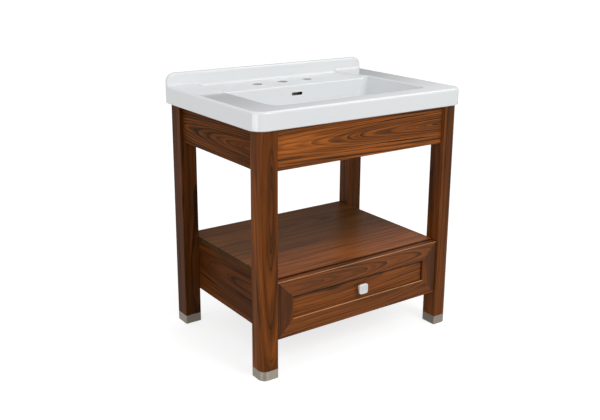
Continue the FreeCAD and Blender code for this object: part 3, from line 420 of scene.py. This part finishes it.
# %% Walnut boards
FRONT, LEFT, RIGHT, BACK, TOP, UNDER = "-Y", "-X", "+X", "+Y", "+Z", "-Z"
boards = {
    "front_rail": dict(grain="X", face=FRONT, heart=0.004, bury=0.022, rise=-0.050, ring=0.0042, tone=1.24,
                       figure=1.2, seed=41.3),
    "left_rail": dict(grain="Y", face=LEFT, heart=-0.006, bury=0.026, rise=0.060, ring=0.0045, tone=0.57,
                      figure=1.3, gloss=0.02, seed=7.1),
    "right_rail": dict(grain="Y", face=RIGHT, heart=0.010, bury=0.040, rise=-0.060, tone=0.75, seed=11.4),
    "back_rail": dict(grain="X", face=BACK, heart=0.015, bury=0.045, tone=0.75, seed=15.2),
    "leg_front_left": dict(grain="Z", face=FRONT, heart=0.004, bury=-0.012, rise=0.080, ring=0.0042,
                           tone=0.80, coarse=0.35, gloss=0.04, seed=19.8),
    "leg_front_right": dict(grain="Z", face=FRONT, heart=0.030, rise=0.025, ring=0.0045, tone=0.86,
                            seed=23.5),
    # The back legs are toned far darker than the front ones, as painted shade under the sink.
    "leg_back_left": dict(grain="Z", face=LEFT, heart=0.050, rise=0.025, ring=0.0045, tone=0.42, gloss=0.04,
                          seed=27.6),
    "leg_back_right": dict(grain="Z", face=FRONT, heart=0.050, bury=0.070, rise=0.020, tone=0.43, seed=31.1),
    # The shelf is painted paler in front as painted light, and its lip gets painted shade.
    "shelf_panel": dict(grain="X", face=TOP, heart=0.120, bury=0.060, rise=0.030, ring=0.006, tone=0.68,
                        tint=(0.88, 1.10, 0.96), sap=0.8, coarse=0.65, figure=0.85, lip=0.0008, gloss=0.10,
                        satin=0.24, seed=35.9),
    "case_side_left": dict(grain="Y", face=LEFT, heart=0.030, rise=0.060, tone=0.44, gloss=0.02, seed=39.3),
    "case_side_right": dict(grain="Y", face=RIGHT, heart=-0.020, bury=0.060, rise=-0.060, tone=0.65,
                            seed=43.7),
    "case_bottom": dict(grain="X", face=UNDER, heart=0.050, bury=0.080, rise=0.040, ring=0.006, tone=0.7,
                        seed=47.2),
    "case_back": dict(grain="X", face=BACK, heart=0.020, bury=0.070, ring=0.006, tone=0.7, seed=51.6),
    # The drawer front's top and bottom rails carry a painted highlight on their top front edge.
    "front_bottom_rail": dict(grain="X", face=FRONT, heart=0.030, rise=0.040, ring=0.0045, tone=0.82,
                              arris=0.0018, gloss=0.10, seed=55.4),
    "front_top_rail": dict(grain="X", face=FRONT, heart=-0.004, bury=0.030, ring=0.0045, tone=0.82,
                           arris=0.0018, gloss=0.14, seed=59.9),
    "front_left_stile": dict(grain="Z", face=FRONT, heart=0.030, ring=0.0045, tone=0.50, gloss=0.11,
                             seed=63.2),
    "front_right_stile": dict(grain="Z", face=FRONT, heart=-0.030, ring=0.0045, tone=0.53, gloss=0.11,
                              seed=67.7),
    # The panel gets a border of painted shade under the frame.
    "front_panel": dict(grain="X", face=FRONT, heart=0.030, bury=0.060, rise=0.030, tone=0.88, seam=0.015,
                        gloss=0.10, seed=71.5),
}
for node, cut in boards.items():
    dress(node, timber(f"walnut_{node}", node, wood=WALNUT, **cut))
print(f"{len(boards)} walnut boards")

# %% [markdown]
# ## Pale wood inside
# Drawer boxes are made of a cheaper pale wood such as birch, with faint even rings. The same tree gives it,
# with other colours and weaker rings. The blocks under the sink and the dowels are birch as well.

# %% Birch boards
BIRCH = {
    "light": colour(222, 196, 156),
    "middle": colour(208, 177, 133),
    "dark": colour(186, 150, 105),
    "streak": colour(176, 140, 98),
    "ring_share": 0.4,
    "line_share": 0.3,
    "streak_share": 0.3,
    "fibre_share": 0.2,
}
pale_boards = {
    "drawer_side_left": dict(grain="Y", face=LEFT, heart=0.05, seed=3.1),
    "drawer_side_right": dict(grain="Y", face=RIGHT, heart=-0.04, seed=5.6),
    "drawer_inner_front": dict(grain="X", face=BACK, heart=0.03, seed=8.4),
    "drawer_back": dict(grain="X", face=FRONT, heart=-0.05, seed=12.9),
    "drawer_bottom": dict(grain="X", face=TOP, heart=0.10, bury=0.12, ring=0.016, seed=16.3),
    "case_dowels": dict(grain="Z", face=FRONT, heart=0.02, seed=20.2),
    "corner_block_front_left": dict(grain="X", face=UNDER, heart=0.04, seed=24.7),
    "corner_block_front_right": dict(grain="X", face=UNDER, heart=-0.03, seed=28.1),
    "corner_block_back_left": dict(grain="X", face=UNDER, heart=0.05, seed=32.6),
    "corner_block_back_right": dict(grain="X", face=UNDER, heart=-0.04, seed=36.4),
}
for node, cut in pale_boards.items():
    dress(node, timber(f"birch_{node}", node, wood=BIRCH, **cut))
print(f"{len(pale_boards)} birch pieces")

# %% [markdown]
# ## Glazed sink top
# Vitreous china is white and hard, with a clear glaze that sags a little, so its reflections wander. The
# glaze is wiped off the underside and the back, where the bare body is cream and dry, and off the walls of
# the faucet holes. Masks from the surface's direction and from the mounts in the record tell these places
# apart, so the sink stays one piece. The inside of the overflow slot is painted near-black as shade, with
# painted light at its near end, as if light from the left reached only that far.

# %% Sink top
# The box of the overflow slot's inside, painted dark as shade, and where its painted light fades out.
OVERFLOW_MIDDLE = Vector((0.0, 0.113, 0.781))
OVERFLOW_HALF = Vector((0.0225, 0.011, 0.0068))
OVERFLOW_LIT, OVERFLOW_DARK = -0.022, 0.010
WIPE_WAVER = 0.004
BACK_SKIN = 0.001
GLAZE_LIP = 0.0012


def within(place, middle, half):
    """1 inside a box, 0 outside it."""
    inside = 1.0
    for part, centre, reach in zip(split(place), middle, half):
        offset = part - centre
        inside = inside * (1 - offset.maths("ABSOLUTE", offset).over(reach))
    return inside


def bare_china(place):
    """1 where the glaze is wiped off: underneath, behind and in the faucet holes."""
    x, y, z = split(place)
    normal = split(place.add("ShaderNodeNewGeometry", output="True Normal"))
    waver = noise(place, 24.0, 3.0) * WIPE_WAVER
    under = (0 - normal[2]).smooth(0.5, 0.7)
    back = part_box("sink_top")[1].y
    behind = normal[1].smooth(0.6, 0.9) * (y + waver).over(back - BACK_SKIN)
    bare = under.most(behind)
    for mount in record["mounts"]:
        if mount["name"].startswith("faucet_hole"):
            hole = Vector(mount["pos_m"])
            off_x = x - hole.x
            off_y = y - hole.y
            deck = hole.z + mount["dims"]["length_mm"] / 2000
            reach = mount["dims"]["r_mm"] / 1000 + GLAZE_LIP / 2
            wall = 1 - (off_x * off_x + off_y * off_y).over(reach * reach)
            bare = bare.most(wall * (1 - (z + waver * 0.2).over(deck - GLAZE_LIP)))
    return bare


def sink_glaze():
    material, shader, place = new_finish("sink_glaze")
    bare = bare_china(place)
    speckle = noise(place, 900.0, 2.0).smooth(0.62, 0.75)
    body = (speckle * 0.5).blend(colour(190, 186, 178), colour(160, 152, 140))
    glaze = noise(place, 5.0, 1.0).blend(colour(228, 231, 232), colour(232, 234, 235))
    # Painted light and shade in the overflow slot: pale brown at the near end, near-black further in.
    lit = split(place)[0].smooth(OVERFLOW_LIT, OVERFLOW_DARK)
    channel = lit.blend(colour(150, 128, 104), colour(26, 18, 12))
    tone = within(place, OVERFLOW_MIDDLE, OVERFLOW_HALF).blend(bare.blend(glaze, body), channel)
    sag = noise(place, 11.0, 1.0)
    bump = place.add("ShaderNodeBump", None, {"Strength": 0.10, "Distance": 0.002, "Height": sag})
    feed(place, shader, {"Base Color": tone, "Roughness": bare * 0.55 + 0.08, "Normal": bump})
    return material


dress("sink_top", sink_glaze())
print("sink top glazed")

# %% [markdown]
# ## Metal and porcelain fittings
# The ferrules are nickel, brushed along the floor. Level scratches spread a reflection up and down but not
# sideways, so a lamp shows as a soft upright band on a rounded corner. The shader's anisotropy does this,
# turned by a quarter, and the scratches themselves change tone and roughness a little from line to line.
# Slides and screws are plain zinc plate with a faint spangle. The knob is the same kind of china as the
# sink, with a painted highlight: its rounded rim is whiter than its flat face.

# %% Nickel, zinc and porcelain
FINE_SCRATCHES_PER_M, BROAD_SCRATCHES_PER_M = 3600, 900
NICKEL_EASE = 0.0006
BRUSHED, QUARTER_TURN = 0.95, 0.25
SPANGLES_PER_M = 420.0
KNOB_RIM = 0.0032


def brushed_nickel():
    material, shader, place = new_finish("nickel_plate")
    x, y, z = split(place)
    fine = noise(join(x * 14, y * 14, z * FINE_SCRATCHES_PER_M), detail=3.0)
    broad = noise(join(x * 3, y * 3, z * BROAD_SCRATCHES_PER_M), detail=1.0)
    thread = fine * 0.7 + broad * 0.3
    eased = place.add("ShaderNodeBevel", {"samples": 4}, {"Radius": NICKEL_EASE})
    bump = place.add("ShaderNodeBump", None, {"Strength": 0.1, "Distance": 0.0001, "Height": thread,
                                              "Normal": eased})
    tone = thread.smooth(0.3, 0.7).blend(colour(146, 138, 127), colour(172, 164, 152))
    feed(place, shader, {"Base Color": tone, "Metallic": 1.0, "Roughness": thread * 0.20 + 0.48,
                         "Anisotropic": BRUSHED, "Anisotropic Rotation": QUARTER_TURN, "Normal": bump})
    return material


def zinc_steel():
    material, shader, place = new_finish("zinc_plate")
    flake = place.add("ShaderNodeTexVoronoi", None, {"Vector": place, "Scale": SPANGLES_PER_M}, "Color")
    tone = split(flake)[0]
    feed(place, shader, {"Base Color": tone.blend(colour(176, 179, 182), colour(204, 206, 207)),
                         "Metallic": 1.0, "Roughness": tone * 0.12 + 0.28})
    return material


def knob_porcelain():
    material, shader, place = new_finish("knob_glaze")
    low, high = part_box("knob")
    half = (high - low) / 2
    front = Vector((low.x + half.x, low.y, low.z + half.z))
    # The rim is painted whiter than the flat face, as a painted highlight on the rounded edge.
    face = within(place, front, (half.x - KNOB_RIM, KNOB_RIM, half.z - KNOB_RIM))
    cloud = noise(place, 60.0, 1.0)
    rim_painted_highlight = cloud.blend(colour(244, 245, 245), colour(248, 249, 249))
    face_tone = cloud.blend(colour(222, 223, 223), colour(226, 227, 227))
    feed(place, shader, {"Base Color": face.blend(rim_painted_highlight, face_tone), "Roughness": 0.09})
    return material


nickel = brushed_nickel()
zinc = zinc_steel()
for node in nodes:
    if node.startswith("ferrule_") and node != "ferrule_screws":
        dress(node, nickel)
    elif node.startswith("slide_") or node.endswith(("screws", "bolts", "knob_screw")):
        dress(node, zinc)
dress("knob", knob_porcelain())
print("metal and porcelain done")

# %% [markdown]
# ## Rows of small fittings
# The slides are screwed on every few inches and run on rows of steel balls. Such repeats suit geometry
# nodes: a tree makes one screw head or ball, sets copies along a row, turns each by chance as a fitter
# leaves them, and joins them to what came in. So one object can carry several rows, one modifier for
# each. The two functions here make the start and the end that both kinds of row share.

# %% What every row shares
CHANCE_SEED = 7
ROW_SOCKETS = {"Geometry": "Geometry", "Count": "Int", "Start": "Vector", "Step": "Vector",
               "Turn": "Rotation", "Radius": "Float", "Height": "Float", "Finish": "Material"}


def new_row_tree(name):
    """A geometry tree with named inputs, and a wire for each."""
    tree = bpy.data.node_groups.new(name, "GeometryNodeTree")
    for label, kind in ROW_SOCKETS.items():
        tree.interface.new_socket(label, in_out="INPUT", socket_type=f"NodeSocket{kind}")
    tree.interface.new_socket("Geometry", in_out="OUTPUT", socket_type="NodeSocketGeometry")
    start = tree.nodes.new("NodeGroupInput")
    return tree, {label: Wire(tree, start.outputs[label]) for label in ROW_SOCKETS}


def lay_row(tree, given, piece):
    """Sets copies of a piece along a row, and joins them to what came in."""
    row = piece.add("GeometryNodeMeshLine", None, {"Count": given["Count"], "Start Location": given["Start"],
                                                   "Offset": given["Step"]})
    placed = piece.add("GeometryNodeInstanceOnPoints", None, {"Points": row, "Instance": piece,
                                                              "Rotation": given["Turn"]})
    chance = piece.add("FunctionNodeRandomValue", {"data_type": "FLOAT_VECTOR"},
                       {"Min": (0.0, 0.0, 0.0), "Max": (0.0, 0.0, math.tau), "Seed": CHANCE_SEED})
    turned = piece.add("GeometryNodeRotateInstances", None, {"Instances": placed, "Rotation": chance})
    real = piece.add("GeometryNodeRealizeInstances", None, {"Geometry": turned})
    dressed = piece.add("GeometryNodeSetMaterial", None, {"Geometry": real, "Material": given["Finish"]})
    whole = tree.nodes.new("GeometryNodeJoinGeometry")
    for wire in (given["Geometry"], dressed):
        tree.links.new(wire.socket, whole.inputs[0])
    tree.links.new(whole.outputs[0], tree.nodes.new("NodeGroupOutput").inputs[0])
    return tree


print(f"a row takes {list(ROW_SOCKETS)}")

# %% [markdown]
# A screw head is a flat cone, with a cross cut out of its top by a Boolean node, and a ball is a sphere of
# few faces, because there are many of them. Both take their sizes from the row's inputs.

# %% A tree for screws and one for balls
TOP_SHARE = 0.7
CROSS_LONG, CROSS_THIN = 1.0, 0.24


def screw_tree():
    """Flat cone heads with a cross cut into the top."""
    tree, given = new_row_tree("screw_row")
    radius, height = given["Radius"], given["Height"]
    head = radius.add("GeometryNodeMeshCone", None, {"Vertices": 24, "Radius Top": radius * TOP_SHARE,
                                                     "Radius Bottom": radius, "Depth": height})
    cross = tree.nodes.new("GeometryNodeMeshBoolean")
    tree.links.new(head.socket, pick(cross.inputs, "Mesh 1"))
    for wide, deep in ((CROSS_LONG, CROSS_THIN), (CROSS_THIN, CROSS_LONG)):
        size = join(radius * wide, radius * deep, height)
        bar = radius.add("GeometryNodeMeshCube", None, {"Size": size})
        lift = join(0.0, 0.0, height)
        lifted = radius.add("GeometryNodeTransform", None, {"Geometry": bar, "Translation": lift})
        tree.links.new(lifted.socket, pick(cross.inputs, "Mesh 2"))
    return lay_row(tree, given, Wire(tree, cross.outputs["Mesh"]))


def ball_tree():
    """Small spheres with smooth shading."""
    tree, given = new_row_tree("ball_row")
    radius = given["Radius"]
    ball = radius.add("GeometryNodeMeshIcoSphere", None, {"Radius": radius, "Subdivisions": 2})
    return lay_row(tree, given, ball.add("GeometryNodeSetShadeSmooth", None, {"Geometry": ball}))


screws, balls = screw_tree(), ball_tree()
print(f"trees {screws.name} and {balls.name}")

# %% [markdown]
# A row is a tree and the values of its inputs. They are set by each socket's identifier before the object is
# first evaluated, because a modifier doesn't know the sockets by name. The result is then baked to a plain
# mesh that rides on the body it is fixed to, and the modifiers go.

# %% Rows on a body
SCREW_RADIUS, SCREW_HEIGHT = 0.0035, 0.001
BALL_RADIUS = 0.0013
BALL_SPACING = 4.6
TO_RIGHT, TO_LEFT, TO_BACK = (0.0, math.pi / 2, 0.0), (0.0, -math.pi / 2, 0.0), (-math.pi / 2, 0.0, 0.0)


def screw_row(start, step, count, turn, radius=SCREW_RADIUS, height=SCREW_HEIGHT):
    return screws, {"Count": count, "Start": start, "Step": step, "Turn": turn, "Radius": radius,
                    "Height": height, "Finish": zinc}


def ball_row(start, count):
    step = (0.0, BALL_RADIUS * BALL_SPACING, 0.0)
    return balls, {"Count": count, "Start": start, "Step": step, "Radius": BALL_RADIUS, "Finish": zinc}


def fitted(name, body, rows):
    """Bakes rows of fittings to one plain mesh, which rides on a body."""
    piece = bpy.data.objects.new(name, bpy.data.meshes.new(name))
    bpy.context.scene.collection.objects.link(piece)
    for tree, values in rows:
        row = piece.modifiers.new(tree.name, "NODES")
        row.node_group = tree
        for socket in tree.interface.items_tree:
            if socket.in_out == "INPUT" and socket.name in values:
                row[socket.identifier] = values[socket.name]
    graph = bpy.context.evaluated_depsgraph_get()
    mesh = bpy.data.meshes.new_from_object(piece.evaluated_get(graph))
    piece.modifiers.clear()
    piece.data = mesh
    mesh.materials.clear()
    mesh.materials.append(zinc)
    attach(piece, body)
    print(f"{name}: {len(mesh.vertices)} points on {body}")


print("rows ready")

# %% [markdown]
# Places come from the boxes of the slides. A slide is three nested channels of thin sheet: screws sit on the
# web of the outer and inner ones, and balls run between their lips. Wafer heads of 1 mm clear the channel
# that passes over them. The outer balls run in the back half of the middle channel and the inner ones in its
# front half, as each pair of channels overlaps there when the drawer is out.

# %% Screws and balls of the slides
SHEET = 0.0012
SLIDE_END = 0.024
SLIDE_SCREWS, SLIDE_BALLS = 4, 32
OUTER_RACE, INNER_RACE = 0.01995, 0.01605
OUTER_RACE_IN, INNER_RACE_IN = 0.0043, 0.0063
OUTER_BALLS_FROM, INNER_BALLS_FROM = 0.0, -0.230

case_rows, drawer_rows = [], []
for side, turn_in, turn_out in (("left", TO_RIGHT, TO_LEFT), ("right", TO_LEFT, TO_RIGHT)):
    sign = -1 if side == "left" else 1
    case_low, case_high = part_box(f"slide_case_{side}")
    drawer_low, drawer_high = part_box(f"slide_drawer_{side}")
    mid_z = (case_low.z + case_high.z) / 2
    first = case_low.y + SLIDE_END
    step = (0.0, (case_high.y - case_low.y - 2 * SLIDE_END) / (SLIDE_SCREWS - 1), 0.0)
    wall_x = sign * (max(abs(case_low.x), abs(case_high.x)) - SHEET)
    box_x = sign * (min(abs(drawer_low.x), abs(drawer_high.x)) + SHEET)
    case_rows.append(screw_row((wall_x, first, mid_z), step, SLIDE_SCREWS, turn_in))
    drawer_rows.append(screw_row((box_x, first, mid_z), step, SLIDE_SCREWS, turn_out))
    outer_x = wall_x - sign * OUTER_RACE_IN
    inner_x = wall_x - sign * INNER_RACE_IN
    fitted(f"slide_balls_{side}", f"slide_middle_{side}", [
        ball_row((outer_x, OUTER_BALLS_FROM, mid_z - OUTER_RACE), SLIDE_BALLS),
        ball_row((outer_x, OUTER_BALLS_FROM, mid_z + OUTER_RACE), SLIDE_BALLS),
        ball_row((inner_x, INNER_BALLS_FROM, mid_z - INNER_RACE), SLIDE_BALLS),
        ball_row((inner_x, INNER_BALLS_FROM, mid_z + INNER_RACE), SLIDE_BALLS),
    ])
fitted("slide_case_screws", "stand", case_rows)

# %% [markdown]
# The long screws that hold the drawer's front, and the one through the knob, end in plain heads in the CAD
# model. Shallow caps give them a cross. They are baked with the screws of the drawer's slides, because
# all of them ride on the drawer.

# %% Caps on the drawer's screws
FRONT_HEAD = 0.0045
FRONT_CAP, KNOB_CAP, CAP_HEIGHT = 0.0043, 0.0038, 0.0008

front_low, front_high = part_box("front_screws")
knob_low, knob_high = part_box("knob_screw")
apart = (front_high.x - front_low.x - 2 * FRONT_HEAD, 0.0, 0.0)
for height in (front_low.z + FRONT_HEAD, front_high.z - FRONT_HEAD):
    start = (front_low.x + FRONT_HEAD, front_high.y, height)
    drawer_rows.append(screw_row(start, apart, 2, TO_BACK, FRONT_CAP, CAP_HEIGHT))
knob_mid = (knob_low + knob_high) / 2
knob_head = (knob_mid.x, knob_high.y, knob_mid.z)
drawer_rows.append(screw_row(knob_head, (0.0, 0.0, 0.0), 1, TO_BACK, KNOB_CAP, CAP_HEIGHT))
fitted("drawer_screws", "drawer", drawer_rows)

# %% [markdown]
# ## Studio
# The stage is a plain white floor under a white sky. What the camera and reflections see of the sky is pure
# white, while the light that it sheds is softer, and a little weaker from the side than from above: Light
# Path tells these rays apart. The floor takes the shadow, and a little glow for the same rays lifts it to
# the white of the sky.

# %% Floor and sky
FLOOR_SIDE = 60.0
FLOOR_GLOW = 0.74
HORIZON_LIGHT = 0.64
ZENITH_LIGHT = 0.69
WHITE, BLACK = (1.0, 1.0, 1.0, 1.0), (0.0, 0.0, 0.0, 1.0)


def seen_ray(tree):
    """1 for rays that show the background: from the camera, a reflection or clear glass."""
    start = Wire(tree)
    rays = [start.add("ShaderNodeLightPath", output=kind)
            for kind in ("Is Camera Ray", "Is Glossy Ray", "Is Transmission Ray")]
    return rays[0].most(rays[1]).most(rays[2])


def flat_piece(name, corners):
    mesh = bpy.data.meshes.new(name)
    mesh.from_pydata(corners, [], [tuple(range(len(corners)))])
    piece = bpy.data.objects.new(name, mesh)
    bpy.context.scene.collection.objects.link(piece)
    return piece


def make_floor():
    half = FLOOR_SIDE / 2
    floor = flat_piece("floor", [(-half, -half, 0), (half, -half, 0), (half, half, 0), (-half, half, 0)])
    material, shader, place = new_finish("studio_floor")
    glow = seen_ray(material.node_tree).blend(BLACK, WHITE)
    feed(place, shader, {"Base Color": colour(180, 180, 180), "Roughness": 1.0, "Specular IOR Level": 0.0,
                         "Emission Color": glow, "Emission Strength": FLOOR_GLOW})
    floor.data.materials.append(material)


def make_sky():
    world = bpy.data.worlds.new("studio_sky")
    world.use_nodes = True
    sky = world.node_tree.nodes["Background"]
    seen = seen_ray(world.node_tree)
    height = split(seen.add("ShaderNodeTexCoord", output="Generated"))[2]
    light = HORIZON_LIGHT + height.smooth(0.0, 0.9) * (ZENITH_LIGHT - HORIZON_LIGHT)
    feed(seen, sky, {"Strength": light + seen * (1 - light), "Color": WHITE})
    bpy.context.scene.world = world


make_floor()
make_sky()
print("floor and sky ready")

# %% [markdown]
# Three soft lamps shape the piece. The key stands in front and above. The fill is low and wide, on the left,
# and its reflection draws a soft bright line down the rounded front corner of the sink. The edge lamp, high
# on the right, is seen by reflections alone, so it brightens the edges but not the broad faces.

# %% Lamps
LAMPS = {
    "key_lamp": dict(azimuth=10, elevation=38, distance=3.6, width=1.4, height=1.4, power=44),
    "fill_lamp": dict(azimuth=-75, elevation=0, distance=3.6, width=2.6, height=0.8, power=25),
    "edge_lamp": dict(azimuth=64, elevation=52, distance=2.8, width=1.5, height=1.5, power=22),
}
middle = (cad_low + cad_high) / 2


def direction(azimuth, elevation):
    """The way to look from the object. Azimuth 0 is to the front and 90 to the right."""
    turn, lift = math.radians(azimuth), math.radians(elevation)
    return Vector((math.sin(turn) * math.cos(lift), -math.cos(turn) * math.cos(lift), math.sin(lift)))


def soft_lamp(name, azimuth, elevation, distance, width, height, power):
    """A soft lamp that faces the middle of the object from a distance."""
    away = direction(azimuth, elevation)
    light = bpy.data.lights.new(name, "AREA")
    light.shape = "RECTANGLE"
    light.size = width
    light.size_y = height
    light.energy = power
    lamp = bpy.data.objects.new(name, light)
    lamp.location = middle + away * distance
    lamp.rotation_euler = away.to_track_quat("Z", "Y").to_euler()
    bpy.context.scene.collection.objects.link(lamp)
    return lamp


lamps = {name: soft_lamp(name, **values) for name, values in LAMPS.items()}
lamps["edge_lamp"].visible_diffuse = False
for name, lamp in lamps.items():
    print(name, "at", [round(part, 2) for part in lamp.location])

# %% [markdown]
# In an all-white room the flat top would mirror nothing but white. So a grey card stands behind the piece,
# where only reflections see it. It is dark at its foot and fades to white above, along a line that climbs to
# the left.

# %% Grey card
CARD_AZIMUTH, CARD_DISTANCE = 145, 2.4
CARD_WIDTH, CARD_LOW, CARD_HIGH = 5.0, 0.02, 3.4
FADE_MIDDLE, FADE_STEEPNESS = 1.25, 4
FADE_FROM, FADE_TO = -1.1, 0.4


def grey_card():
    """A card behind the object that only reflections see, as dark as a studio's back wall."""
    away = direction(CARD_AZIMUTH, 0)
    across = Vector((-away.y, away.x, 0.0)).normalized()
    foot = middle + away * CARD_DISTANCE
    corners = []
    for side, height in ((-1, CARD_LOW), (1, CARD_LOW), (1, CARD_HIGH), (-1, CARD_HIGH)):
        corner = foot + across * (side * CARD_WIDTH / 2)
        corners.append((corner.x, corner.y, height))
    card = flat_piece("grey_card", corners)
    card.visible_camera = False
    card.visible_diffuse = False
    card.visible_shadow = False
    card.visible_transmission = False
    material, shader, place = new_finish("card_grey")
    x, y, z = split(place)
    aside = (x - middle.x) * across.x + (y - middle.y) * across.y
    fade = (aside + (FADE_MIDDLE - z) * FADE_STEEPNESS).smooth(FADE_FROM, FADE_TO)
    tone = fade.blend(colour(244, 244, 246), colour(74, 74, 80))
    feed(place, shader, {"Base Color": BLACK, "Roughness": 1.0, "Specular IOR Level": 0.0,
                         "Emission Color": tone, "Emission Strength": 1.0})
    card.data.materials.append(material)


grey_card()
print(f"card {CARD_WIDTH} m wide")

# %% [markdown]
# ## Camera
# The camera looks from the front left and a little from above. Its place was worked out from where the
# corners of the piece stand in a 600 by 420 picture. A small downward shift of the frame keeps the legs
# more upright, as a view camera does.

# %% Camera
PICTURE_WIDTH = 600
PICTURE_HEIGHT = 420
VIEW_AZIMUTH = -35.174
VIEW_ELEVATION = 15.386
VIEW_ROLL = math.radians(0.341)
VIEW_DISTANCE = 2.7071
VIEW_AIM = Vector((-0.0554, 0.00325, 0.5306))
AXIS_ROW = 175
LENS_MM = 49.506
SENSOR_MM = 36.0

backward = direction(VIEW_AZIMUTH, VIEW_ELEVATION)
rightward = direction(VIEW_AZIMUTH + 90, 0)
upward = backward.cross(rightward)
level = Matrix((rightward, upward, backward)).transposed()
camera_data = bpy.data.cameras.new("camera")
camera_data.lens = LENS_MM
camera_data.sensor_width = SENSOR_MM
camera_data.shift_y = (AXIS_ROW - PICTURE_HEIGHT / 2) / PICTURE_WIDTH
camera = bpy.data.objects.new("camera", camera_data)
camera.rotation_euler = (level @ Matrix.Rotation(VIEW_ROLL, 3, "Z")).to_euler()
camera.location = VIEW_AIM + backward * VIEW_DISTANCE
bpy.context.scene.collection.objects.link(camera)
bpy.context.scene.camera = camera
bpy.context.scene.view_settings.view_transform = "Standard"
print("camera at", [round(part, 3) for part in camera.location])

# %% Bounds as plain lists
def plain(bounds):
    return [list(corner) for corner in bounds]
